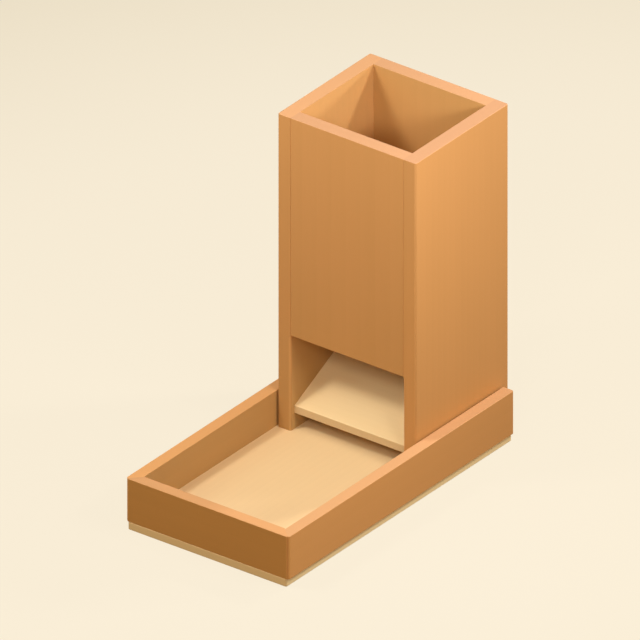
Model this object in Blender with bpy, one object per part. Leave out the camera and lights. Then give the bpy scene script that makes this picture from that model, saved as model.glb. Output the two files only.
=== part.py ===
"""A dice tower in two woods: a lift-off tower that stands in the rear end of an open tray.

Lengths are in metres and +Z is up. The front, where the dice come out, faces -Y, and +X is
to the right as seen from the front. The origin lies under the middle of the whole object,
on the surface that it stands on. Dice fall in at the open top, turn on two baffles and run
down the exit ramp into the tray.
"""

import math

import bmesh
import bpy
from mathutils import Matrix, Vector

# Tray: three walls round a floor, on a base plate
TRAY_WIDTH = 0.0760
TRAY_LENGTH = 0.1403
WALL_THICKNESS = 0.0050
WALL_HEIGHT = 0.0180
BASE_THICKNESS = 0.0033
BASE_SIDE_INSET = 0.0010
FLOOR_THICKNESS = 0.0029

# Tower: a square tube of four panels, deeper than the tray's rear end by the overhang
TOWER_DEPTH = 0.0576
TOWER_HEIGHT = 0.1336
TOWER_OVERHANG = 0.0042
TOWER_SIDE_CLEARANCE = 0.00075
PANEL_THICKNESS = 0.0060
EXIT_HEIGHT = 0.0406

# Exit ramp and baffles: thin boards let into grooves in the side panels
BOARD_THICKNESS = 0.0029
GROOVE_DEPTH = 0.0020
RAMP_SETBACK = 0.00245
RAMP_FRONT_HEIGHT = 0.0096
RAMP_SLOPE_DEGREES = 26.2
BAFFLE_SLOPE_DEGREES = 35.0
BAFFLE_REACH_SHARE = 0.45
LOWER_BAFFLE_HEIGHT_SHARE = 0.50
UPPER_BAFFLE_HEIGHT_SHARE = 0.735

# Dowels: some join the tower's panels, and four locate the tower on the tray's floor
DOWEL_DIAMETER = 0.0030
DOWEL_CHAMFER = 0.0004
DOWEL_SIDE_HOLE_SHARE = 0.6
DOWEL_EDGE_HOLE_DEPTH = 0.0070
FRONT_DOWEL_HEIGHT_SHARES = (0.2, 0.8)
BACK_DOWEL_HEIGHT_SHARES = (0.12, 0.5, 0.88)
LOCATING_HOLE_DEPTH = 0.0040
LOCATING_DOWEL_DEPTH_SHARES = (0.2, 0.8)

# Edges, joints and roundness
CORNER_RADIUS = 0.0011
EASED_RADIUS = 0.0004
SOFTENED_WIDTH = 0.0004
JOINT_GAP = 0.0003
CUT_OVERRUN = 0.0010
SAME_PLACE = 0.000001
ARC_STEP_DEGREES = 22.5
ROUND_SIDES = 16
SOFTENED_STEPS = 2
SMOOTH_ANGLE_DEGREES = 35.0

BROWN_WOOD = (0.62, 0.33, 0.13, 1.0)
PALE_WOOD = (0.86, 0.64, 0.38, 1.0)
BROWN_ROUGHNESS = 0.55
PALE_ROUGHNESS = 0.65

LEFT, RIGHT = -1, 1
FRONT, BACK = -1, 1

# Places along Y and Z that several pieces share
OVERALL_LENGTH = TRAY_LENGTH + TOWER_OVERHANG
TRAY_FRONT = -OVERALL_LENGTH / 2
TRAY_REAR = TRAY_FRONT + TRAY_LENGTH
WALL_BOTTOM = BASE_THICKNESS + JOINT_GAP
FLOOR_TOP = WALL_BOTTOM + FLOOR_THICKNESS
TOWER_FOOT = FLOOR_TOP + JOINT_GAP
TOWER_MIDDLE = OVERALL_LENGTH / 2 - TOWER_DEPTH / 2
TOWER_WIDTH = TRAY_WIDTH - 2 * WALL_THICKNESS - 2 * TOWER_SIDE_CLEARANCE
CHUTE_WIDTH = TOWER_WIDTH - 2 * PANEL_THICKNESS
CHUTE_DEPTH = TOWER_DEPTH - 2 * PANEL_THICKNESS
FITTED_WIDTH = CHUTE_WIDTH - 2 * JOINT_GAP

# Turns an outline drawn in plan so that it stands in the YZ plane and its height runs along X
ACROSS = Matrix(((0, 0, 1, 0), (1, 0, 0, 0), (0, 1, 0, 0), (0, 0, 0, 1)))


def clear_scene():
    for existing in list(bpy.data.objects):
        bpy.data.objects.remove(existing)


def wood(name, colour, roughness):
    """A plain wood material in one colour."""
    material = bpy.data.materials.new(name)
    material.use_nodes = True
    shader = material.node_tree.nodes["Principled BSDF"]
    shader.inputs["Base Color"].default_value = colour
    shader.inputs["Roughness"].default_value = roughness
    shader.inputs["Metallic"].default_value = 0
    return material


def brown_wood(name):
    return wood(name + " brown wood", BROWN_WOOD, BROWN_ROUGHNESS)


def pale_wood(name):
    return wood(name + " pale wood", PALE_WOOD, PALE_ROUGHNESS)


def rounded_outline(corners):
    """Points of a closed outline, anticlockwise, from (x, y, radius) at each of its corners."""
    points = []
    for index, (x, y, radius) in enumerate(corners):
        corner = Vector((x, y))
        if radius == 0:
            points.append(corner)
            continue
        before = (Vector(corners[index - 1][:2]) - corner).normalized()
        after = (Vector(corners[(index + 1) % len(corners)][:2]) - corner).normalized()
        half_corner = before.angle(after) / 2
        centre = corner + (before + after).normalized() * radius / math.sin(half_corner)
        turn = math.pi - 2 * half_corner
        steps = max(1, math.ceil(turn / math.radians(ARC_STEP_DEGREES)))
        first = corner + before * radius / math.tan(half_corner) - centre
        for step in range(steps + 1):
            points.append(centre + Matrix.Rotation(turn * step / steps, 2) @ first)
    return points


def rectangle(width, depth):
    """Corners of a sharp rectangle about the origin, anticlockwise."""
    across, along = width / 2, depth / 2
    return [(-across, -along, 0), (across, -along, 0), (across, along, 0), (-across, along, 0)]


def extrude(mesh, outline, low, high, turn=Matrix.Identity(4)):
    """Adds to the mesh the closed solid of an outline between two heights."""
    ring = [mesh.verts.new((x, y, low)) for x, y in outline]
    end = mesh.faces.new(ring)
    raised = bmesh.ops.extrude_face_region(mesh, geom=[end])["geom"]
    far_ring = [part for part in raised if isinstance(part, bmesh.types.BMVert)]
    bmesh.ops.translate(mesh, verts=far_ring, vec=(0, 0, high - low))
    bmesh.ops.transform(mesh, matrix=turn, verts=ring + far_ring)
    bmesh.ops.recalc_face_normals(mesh, faces=mesh.faces)


def rod(mesh, start, end, radius):
    """Adds to the mesh a closed cylinder between two points."""
    start, end = Vector(start), Vector(end)
    along = (end - start).to_track_quat("Z", "Y").to_matrix().to_4x4()
    bmesh.ops.create_cone(
        mesh,
        cap_ends=True,
        segments=ROUND_SIDES,
        radius1=radius,
        radius2=radius,
        depth=(end - start).length,
        matrix=Matrix.Translation((start + end) / 2) @ along,
    )


def saw_off(mesh, point, normal):
    """Cuts away what lies on the normal's side of a plane and closes the cut."""
    everything = mesh.verts[:] + mesh.edges[:] + mesh.faces[:]
    cut = bmesh.ops.bisect_plane(
        mesh, geom=everything, plane_co=point, plane_no=normal, clear_outer=True
    )
    rim = [part for part in cut["geom_cut"] if isinstance(part, bmesh.types.BMEdge)]
    bmesh.ops.edgeloop_fill(mesh, edges=rim)
    bmesh.ops.recalc_face_normals(mesh, faces=mesh.faces)


def mark_soft_edges(mesh, height, joint_planes=()):
    """Marks the edges round the top at this height and the bottom, but for those on a joint."""
    weights = mesh.edges.layers.float.new("bevel_weight_edge")
    for edge in mesh.edges:
        places = [vertex.co for vertex in edge.verts]
        level = any(all(abs(p.z - z) < SAME_PLACE for p in places) for z in (0, height))
        on_joint = any(
            all(abs((p - Vector(point)).dot(Vector(normal))) < SAME_PLACE for p in places)
            for point, normal in joint_planes
        )
        edge[weights] = 1 if level and not on_joint else 0


def add_piece(name, mesh, material, location, parent=None):
    """Turns a finished mesh into a named, shaded object at its place."""
    data = bpy.data.meshes.new(name)
    mesh.to_mesh(data)
    mesh.free()
    data.materials.append(material)
    data.shade_smooth()
    data.set_sharp_from_angle(angle=math.radians(SMOOTH_ANGLE_DEGREES))
    piece = bpy.data.objects.new(name, data)
    piece.location = location
    piece.parent = parent
    bpy.context.scene.collection.objects.link(piece)
    return piece


def soften(piece, width, limit):
    """Breaks a piece's edges with a small bevel."""
    bevel = piece.modifiers.new("Softened edges", "BEVEL")
    bevel.width = width
    bevel.segments = SOFTENED_STEPS
    bevel.limit_method = limit


def cut_with(piece, mesh, parent=None):
    """Cuts grooves and holes out of a piece with a mesh given in the parent's frame."""
    data = bpy.data.meshes.new(piece.name + " cutter")
    mesh.to_mesh(data)
    mesh.free()
    cutter = bpy.data.objects.new(piece.name + "_cutter", data)
    cutter.parent = parent
    cutter.hide_render = True
    cutter.display_type = "WIRE"
    bpy.context.scene.collection.objects.link(cutter)
    cut = piece.modifiers.new("Grooves and holes", "BOOLEAN")
    cut.operation = "DIFFERENCE"
    cut.object = cutter


def build_base_plate():
    """Board under everything, set in a little from the side walls' outer faces."""
    across = TRAY_WIDTH / 2 - BASE_SIDE_INSET
    outline = rounded_outline(
        [
            (-across, TRAY_FRONT, CORNER_RADIUS),
            (across, TRAY_FRONT, CORNER_RADIUS),
            (across, TRAY_REAR, CORNER_RADIUS),
            (-across, TRAY_REAR, CORNER_RADIUS),
        ]
    )
    mesh = bmesh.new()
    extrude(mesh, outline, 0, BASE_THICKNESS)
    mark_soft_edges(mesh, BASE_THICKNESS)
    plate = add_piece("base_plate", mesh, pale_wood("base_plate"), (0, 0, 0))
    soften(plate, SOFTENED_WIDTH, "WEIGHT")


def build_floor_panel():
    """The tray's floor, let in between the walls, with holes for the tower's locating dowels."""
    width = TRAY_WIDTH - 2 * WALL_THICKNESS - 2 * JOINT_GAP
    front = TRAY_FRONT + WALL_THICKNESS + JOINT_GAP
    mesh = bmesh.new()
    extrude(mesh, rounded_outline(rectangle(width, TRAY_REAR - front)), 0, FLOOR_THICKNESS)
    place = (0, (front + TRAY_REAR) / 2, WALL_BOTTOM)
    panel = add_piece("floor_panel", mesh, pale_wood("floor_panel"), place)
    holes = bmesh.new()
    for x, y in locating_places():
        top = FLOOR_TOP + CUT_OVERRUN
        bottom = WALL_BOTTOM - CUT_OVERRUN
        y_in_tray = y + TOWER_MIDDLE
        rod(holes, (x, y_in_tray, bottom), (x, y_in_tray, top), DOWEL_DIAMETER / 2 + JOINT_GAP)
    cut_with(panel, holes)


def mitre_plane(side, clearance_side):
    """The plane of a front corner's mitre, moved half a joint gap back from it."""
    corner = Vector((side * TRAY_WIDTH / 2, TRAY_FRONT, 0))
    normal = Vector((side, 1, 0)).normalized() * clearance_side
    return corner - normal * JOINT_GAP / 2, normal


def build_front_wall():
    """Front wall, mitred into the side walls at both ends."""
    across = TRAY_WIDTH / 2
    inner = TRAY_FRONT + WALL_THICKNESS
    outline = rounded_outline(
        [
            (-across, TRAY_FRONT, CORNER_RADIUS),
            (across, TRAY_FRONT, CORNER_RADIUS),
            (across, inner, 0),
            (-across, inner, 0),
        ]
    )
    mesh = bmesh.new()
    extrude(mesh, outline, 0, WALL_HEIGHT)
    mitres = [mitre_plane(side, clearance_side=1) for side in (LEFT, RIGHT)]
    for point, normal in mitres:
        saw_off(mesh, point, normal)
    mark_soft_edges(mesh, WALL_HEIGHT, mitres)
    name = "tray_front_wall"
    wall = add_piece(name, mesh, brown_wood(name), (0, 0, WALL_BOTTOM))
    soften(wall, SOFTENED_WIDTH, "WEIGHT")


def build_side_wall(name, side):
    """Side wall of the tray, mitred at the front and square at the rear."""
    outer = side * TRAY_WIDTH / 2
    inner = outer - side * WALL_THICKNESS
    corners = [
        (outer, TRAY_FRONT, CORNER_RADIUS),
        (outer, TRAY_REAR, CORNER_RADIUS),
        (inner, TRAY_REAR, EASED_RADIUS),
        (inner, TRAY_FRONT, 0),
    ]
    mesh = bmesh.new()
    extrude(mesh, rounded_outline(corners[::side]), 0, WALL_HEIGHT)
    point, normal = mitre_plane(side, clearance_side=-1)
    saw_off(mesh, point, normal)
    mark_soft_edges(mesh, WALL_HEIGHT, [(point, normal)])
    wall = add_piece(name, mesh, brown_wood(name), (0, 0, WALL_BOTTOM))
    soften(wall, SOFTENED_WIDTH, "WEIGHT")


def build_tray():
    build_base_plate()
    build_floor_panel()
    build_front_wall()
    build_side_wall("tray_left_wall", LEFT)
    build_side_wall("tray_right_wall", RIGHT)


class Board:
    """A sloping board in the tower's own frame, which starts at the middle of its foot.

    It runs from one Y to another with plumb-cut ends. Its top is given at the Y where it
    starts, and a positive slope climbs towards the back.
    """

    def __init__(self, name, front, back, front_top, slope_degrees):
        self.name = name
        self.front = front
        self.back = back
        self.front_top = front_top
        self.slope = math.radians(slope_degrees)

    def profile(self, clearance):
        """Corners of its outline in the YZ plane, grown all round by a clearance."""
        rise = math.tan(self.slope)
        margin = clearance / math.cos(self.slope)
        depth = BOARD_THICKNESS / math.cos(self.slope)
        front, back = self.front - clearance, self.back + clearance
        front_top = self.front_top - rise * clearance + margin
        back_top = front_top + rise * (back - front)
        low = depth + 2 * margin
        return [(front, front_top - low), (back, back_top - low), (back, back_top), (front, front_top)]


def sloping_boards():
    """The exit ramp and the two baffles, placed from the tower's sizes."""
    front_face = -TOWER_DEPTH / 2
    chute_front = front_face + PANEL_THICKNESS + JOINT_GAP
    chute_back = -front_face - PANEL_THICKNESS - JOINT_GAP
    reach = CHUTE_DEPTH * BAFFLE_REACH_SHARE
    baffle_drop = math.tan(math.radians(BAFFLE_SLOPE_DEGREES)) * reach
    ramp_front = front_face + RAMP_SETBACK
    lower_top = TOWER_HEIGHT * LOWER_BAFFLE_HEIGHT_SHARE
    upper_top = TOWER_HEIGHT * UPPER_BAFFLE_HEIGHT_SHARE
    return [
        Board("exit_ramp", ramp_front, chute_back, RAMP_FRONT_HEIGHT, RAMP_SLOPE_DEGREES),
        Board("lower_baffle", chute_front, chute_front + reach, lower_top, -BAFFLE_SLOPE_DEGREES),
        Board(
            "upper_baffle",
            chute_back - reach,
            chute_back,
            upper_top - baffle_drop,
            BAFFLE_SLOPE_DEGREES,
        ),
    ]


def build_board(board, tower):
    """A board whose ends lie in the grooves of both side panels."""
    half_length = CHUTE_WIDTH / 2 + GROOVE_DEPTH - JOINT_GAP
    start = Vector((board.front, board.front_top))
    outline = [Vector(corner) - start for corner in board.profile(clearance=0)]
    mesh = bmesh.new()
    extrude(mesh, outline, -half_length, half_length, ACROSS)
    place = (0, board.front, board.front_top)
    add_piece(board.name, mesh, pale_wood(board.name), place, tower)


def joint_dowels():
    """Name, height and panel side (FRONT or BACK) of each dowel that joins the panels."""
    placed = []
    for panel, shares, low in (
        (FRONT, FRONT_DOWEL_HEIGHT_SHARES, EXIT_HEIGHT),
        (BACK, BACK_DOWEL_HEIGHT_SHARES, 0),
    ):
        for side in (LEFT, RIGHT):
            for number, share in enumerate(shares, start=1):
                name = "{}_panel_dowel_{}_{}".format(
                    "front" if panel == FRONT else "back",
                    "left" if side == LEFT else "right",
                    number,
                )
                placed.append((name, panel, side, low + share * (TOWER_HEIGHT - low)))
    return placed


def joint_place(panel):
    """Y of the middle of the front or back panel's thickness, in the tower's frame."""
    return panel * (TOWER_DEPTH - PANEL_THICKNESS) / 2


def locating_places():
    """X and Y of each locating dowel, in the tower's frame, under the side panels' middles."""
    across = (TOWER_WIDTH - PANEL_THICKNESS) / 2
    along = [(share - 1 / 2) * TOWER_DEPTH for share in LOCATING_DOWEL_DEPTH_SHARES]
    return [(side * across, y) for side in (LEFT, RIGHT) for y in along]


def build_dowel(name, start, end, tower):
    """A dowel between two points in the tower's frame, with chamfered ends."""
    start, end = Vector(start), Vector(end)
    half = (end - start) / 2
    mesh = bmesh.new()
    rod(mesh, -half, half, DOWEL_DIAMETER / 2)
    dowel = add_piece(name, mesh, pale_wood(name), (start + end) / 2, tower)
    soften(dowel, DOWEL_CHAMFER, "ANGLE")


def build_dowels(tower):
    side_hole = PANEL_THICKNESS * DOWEL_SIDE_HOLE_SHARE
    for name, panel, side, height in joint_dowels():
        y = joint_place(panel)
        inner = side * (CHUTE_WIDTH / 2 - DOWEL_EDGE_HOLE_DEPTH)
        outer = side * (CHUTE_WIDTH / 2 + side_hole - JOINT_GAP)
        build_dowel(name, (inner, y, height), (outer, y, height), tower)
    tip = WALL_BOTTOM - TOWER_FOOT
    for number, (x, y) in enumerate(locating_places(), start=1):
        top = LOCATING_HOLE_DEPTH - JOINT_GAP
        build_dowel("locating_dowel_{}".format(number), (x, y, tip), (x, y, top), tower)


def build_side_panel(name, side, boards, tower):
    """Full-height side panel with stopped grooves for the boards and holes for the dowels."""
    outer = side * PANEL_THICKNESS / 2
    along = TOWER_DEPTH / 2
    corners = [
        (outer, -along, CORNER_RADIUS),
        (outer, along, CORNER_RADIUS),
        (-outer, along, EASED_RADIUS),
        (-outer, -along, EASED_RADIUS),
    ]
    mesh = bmesh.new()
    extrude(mesh, rounded_outline(corners[::side]), 0, TOWER_HEIGHT)
    mark_soft_edges(mesh, TOWER_HEIGHT)
    place = (side * (TOWER_WIDTH - PANEL_THICKNESS) / 2, 0, 0)
    panel = add_piece(name, mesh, brown_wood(name), place, tower)
    soften(panel, SOFTENED_WIDTH, "WEIGHT")

    cuts = bmesh.new()
    face = CHUTE_WIDTH / 2
    groove = sorted((side * (face - CUT_OVERRUN), side * (face + GROOVE_DEPTH)))
    for board in boards:
        extrude(cuts, board.profile(clearance=JOINT_GAP), *groove, ACROSS)
    hole = DOWEL_DIAMETER / 2 + JOINT_GAP
    side_hole = PANEL_THICKNESS * DOWEL_SIDE_HOLE_SHARE
    for _, panel_side, dowel_side, height in joint_dowels():
        if dowel_side == side:
            y = joint_place(panel_side)
            start = (side * (face - CUT_OVERRUN), y, height)
            rod(cuts, start, (side * (face + side_hole), y, height), hole)
    for x, y in locating_places():
        if x * side > 0:
            rod(cuts, (x, y, -CUT_OVERRUN), (x, y, LOCATING_HOLE_DEPTH), hole)
    cut_with(panel, cuts, tower)


def build_end_panel(name, panel_side, foot, tower):
    """Front or back panel, fitted between the side panels from its foot to the rim."""
    height = TOWER_HEIGHT - foot
    mesh = bmesh.new()
    extrude(mesh, rounded_outline(rectangle(FITTED_WIDTH, PANEL_THICKNESS)), 0, height)
    joints = [((side * FITTED_WIDTH / 2, 0, 0), (1, 0, 0)) for side in (LEFT, RIGHT)]
    mark_soft_edges(mesh, height, joints)
    place = (0, joint_place(panel_side), foot)
    panel = add_piece(name, mesh, brown_wood(name), place, tower)
    soften(panel, SOFTENED_WIDTH, "WEIGHT")

    holes = bmesh.new()
    edge = FITTED_WIDTH / 2
    for _, dowel_panel, side, dowel_height in joint_dowels():
        if dowel_panel == panel_side:
            y = joint_place(panel_side)
            start = (side * (edge - DOWEL_EDGE_HOLE_DEPTH), y, dowel_height)
            end = (side * (edge + CUT_OVERRUN), y, dowel_height)
            rod(holes, start, end, DOWEL_DIAMETER / 2 + JOINT_GAP)
    cut_with(panel, holes, tower)


def build_tower():
    """Everything that lifts off the tray together, under one empty on the lifting axis."""
    tower = bpy.data.objects.new("tower_lift", None)
    tower.location = (0, TOWER_MIDDLE, TOWER_FOOT)
    bpy.context.scene.collection.objects.link(tower)
    boards = sloping_boards()
    build_side_panel("tower_left_panel", LEFT, boards, tower)
    build_side_panel("tower_right_panel", RIGHT, boards, tower)
    build_end_panel("tower_front_panel", FRONT, EXIT_HEIGHT, tower)
    build_end_panel("tower_back_panel", BACK, 0, tower)
    for board in boards:
        build_board(board, tower)
    build_dowels(tower)


clear_scene()
build_tray()
build_tower()
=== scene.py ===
"""Looks of the wooden dice tower: its boards as finely made meshes, its woods and the studio.

Lengths are in metres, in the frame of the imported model: +Z is up, the front is at -Y, where the
tray lies open before the tower, and +X is to the right as seen from there. Every board takes its
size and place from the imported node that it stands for, and closes the running gaps that the
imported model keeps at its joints.
"""

import logging
import math
from dataclasses import dataclass, field, replace
from enum import Enum

import bmesh
import bpy
from mathutils import Matrix, Vector


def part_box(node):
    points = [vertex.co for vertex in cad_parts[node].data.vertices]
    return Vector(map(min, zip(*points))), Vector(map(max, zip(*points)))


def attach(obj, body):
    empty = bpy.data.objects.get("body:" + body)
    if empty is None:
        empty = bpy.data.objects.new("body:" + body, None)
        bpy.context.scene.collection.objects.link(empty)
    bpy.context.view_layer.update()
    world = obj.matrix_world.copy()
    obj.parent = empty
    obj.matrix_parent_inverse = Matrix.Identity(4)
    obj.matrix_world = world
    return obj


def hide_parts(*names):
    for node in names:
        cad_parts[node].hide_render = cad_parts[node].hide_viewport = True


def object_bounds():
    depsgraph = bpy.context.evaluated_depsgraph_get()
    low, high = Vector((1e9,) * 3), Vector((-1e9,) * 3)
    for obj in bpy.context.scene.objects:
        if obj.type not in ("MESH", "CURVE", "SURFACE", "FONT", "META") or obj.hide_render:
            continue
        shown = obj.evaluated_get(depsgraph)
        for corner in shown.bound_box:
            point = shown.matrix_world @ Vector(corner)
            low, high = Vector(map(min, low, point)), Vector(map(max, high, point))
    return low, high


MILLIMETRE = 0.001
# What is left between two boards that meet, so that their faces never coincide
HAIRLINE = 0.006 * MILLIMETRE
SAME_PLACE = 0.001 * MILLIMETRE
CUT_TOLERANCE = 0.0001 * MILLIMETRE
# How far a cutter stands out of the face that it enters
OVERSHOOT = 1 * MILLIMETRE
ARC_STEPS = 6
EDGE_STEPS = 4
HOLE_SIDES = 40
SHARP_ANGLE = math.radians(35)
# The most that large faces can count for in the normals of the edges between them
FLAT_FACE_WEIGHT = 100
# Names of the marks that a mesh carries for its material: rounded edges, partly oil rubbed thin
# and partly painted highlight; saw-cut faces, partly end grain and partly painted light and
# shade; inner faces, a tone painted for the light and shade inside
WORN = "worn"
SAWN = "sawn"
WIPED = "wiped"
FULL_WEAR_RADIUS = 0.9 * MILLIMETRE

log = logging.getLogger("dice_tower")
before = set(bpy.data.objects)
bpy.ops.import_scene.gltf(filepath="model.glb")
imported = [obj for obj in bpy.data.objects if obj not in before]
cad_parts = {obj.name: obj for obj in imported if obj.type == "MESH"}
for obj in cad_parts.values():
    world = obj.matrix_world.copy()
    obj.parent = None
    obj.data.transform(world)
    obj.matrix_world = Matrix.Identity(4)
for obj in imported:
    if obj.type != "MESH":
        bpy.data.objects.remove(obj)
packed_low, packed_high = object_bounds()


class Grain(Enum):
    """The row axis along which a board's fibres run, as the columns of its bench frame."""

    ALONG_X = ((1, 0, 0), (0, 1, 0), (0, 0, 1))
    ALONG_Y = ((0, 1, 0), (-1, 0, 0), (0, 0, 1))
    ALONG_Z = ((0, 0, 1), (0, 1, 0), (-1, 0, 0))

    def bench(self, centre: Vector) -> Matrix:
        """The frame of a board with this grain: X along the fibres, its origin at the centre."""
        turn = Matrix(self.value).transposed()
        return Matrix.Translation(centre) @ turn.to_4x4()


class Side(Enum):
    """The two sides of the object, as the sign of X."""

    LEFT = -1
    RIGHT = 1


class End(Enum):
    """The two ends of the tower that a panel closes, as the word in the names of its nodes."""

    FRONT = "front"
    BACK = "back"


def linear(hex_colour: str) -> tuple[float, float, float, float]:
    """Turns an sRGB hex colour into the linear colour that a shader takes.

    Args:
        hex_colour: The colour as "#rrggbb".

    Returns:
        Red, green, blue and an alpha of 1.
    """
    parts = [int(hex_colour[i : i + 2], 16) / 255 for i in (1, 3, 5)]
    return (*(p / 12.92 if p <= 0.04045 else ((p + 0.055) / 1.055) ** 2.4 for p in parts), 1.0)


def socket(sockets: bpy.types.bpy_prop_collection, name: str | int) -> bpy.types.NodeSocket:
    """The input or output of a node that has this identifier, name or number."""
    by_identifier = {one.identifier: one for one in sockets}
    return by_identifier.get(name) or sockets[name]


def add_node(
    tree: bpy.types.NodeTree,
    kind: str,
    settings: dict[str, object] | None = None,
    inputs: dict[str | int, object] | None = None,
) -> bpy.types.Node:
    """Adds a node with its settings and its inputs.

    Args:
        tree: The node tree that gets the node.
        kind: Blender's name of the kind of node.
        settings: Values of the node's own properties.
        inputs: A value, or another node's output, for each input by its identifier, name or number.

    Returns:
        The new node.
    """
    node = tree.nodes.new(kind)
    for name, value in (settings or {}).items():
        setattr(node, name, value)
    for name, value in (inputs or {}).items():
        if isinstance(value, bpy.types.NodeSocket):
            tree.links.new(value, socket(node.inputs, name))
        else:
            socket(node.inputs, name).default_value = value
    return node


def emptied_tree(owner: bpy.types.Material | bpy.types.World) -> bpy.types.NodeTree:
    """Gives a new material or world an empty node tree.

    Args:
        owner: The material or world.

    Returns:
        Its node tree.
    """
    owner.use_nodes = True
    owner.node_tree.nodes.clear()
    return owner.node_tree


def seen_share(tree: bpy.types.NodeTree) -> bpy.types.NodeSocket:
    """Tells what the camera sees from the light that falls on the object.

    Args:
        tree: The node tree that gets the nodes.

    Returns:
        1 for rays from the camera, or that it sees by reflection or through glass, else 0.
    """
    path = add_node(tree, "ShaderNodeLightPath")
    seen = path.outputs["Is Camera Ray"]
    for other in ("Is Glossy Ray", "Is Transmission Ray"):
        seen = add_node(
            tree, "ShaderNodeMath", {"operation": "MAXIMUM"}, {0: seen, 1: path.outputs[other]}
        ).outputs["Value"]
    return seen


@dataclass(frozen=True)
class Figure:
    """How one wood's figure looks on a planed board, in real sizes.

    The light and dark tones are the two ends of the colour that the rings, the broad clouds and
    the fibres mix, each by its own share. Rounded edges take a tone of their own, by its share,
    partly oil rubbed thin and partly painted highlight. Saw-cut faces take another tone, by its
    share, partly end grain and partly painted light on lit tops and painted shade on ends in
    shadow. Inner faces have their own two tones, painted for the light and shade inside. A painted
    shade may lie over the figure along the board: it is full at one place and gone at another,
    both measured along the fibres from the board's middle.
    """

    light_tone: str
    dark_tone: str
    worn_tone: str
    sawn_tone: str
    ring_spacing: float
    pith_depth: float
    cloud_width: float
    cloud_length: float
    fibre_width: float
    fibre_length: float
    ring_share: float
    cloud_share: float
    fibre_share: float
    worn_share: float
    sawn_share: float
    roughness: float
    relief: float
    wiped_light_tone: str | None = None
    wiped_dark_tone: str | None = None
    shade: str | None = None
    shade_full: float = 0.0
    shade_gone: float = 0.0


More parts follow.
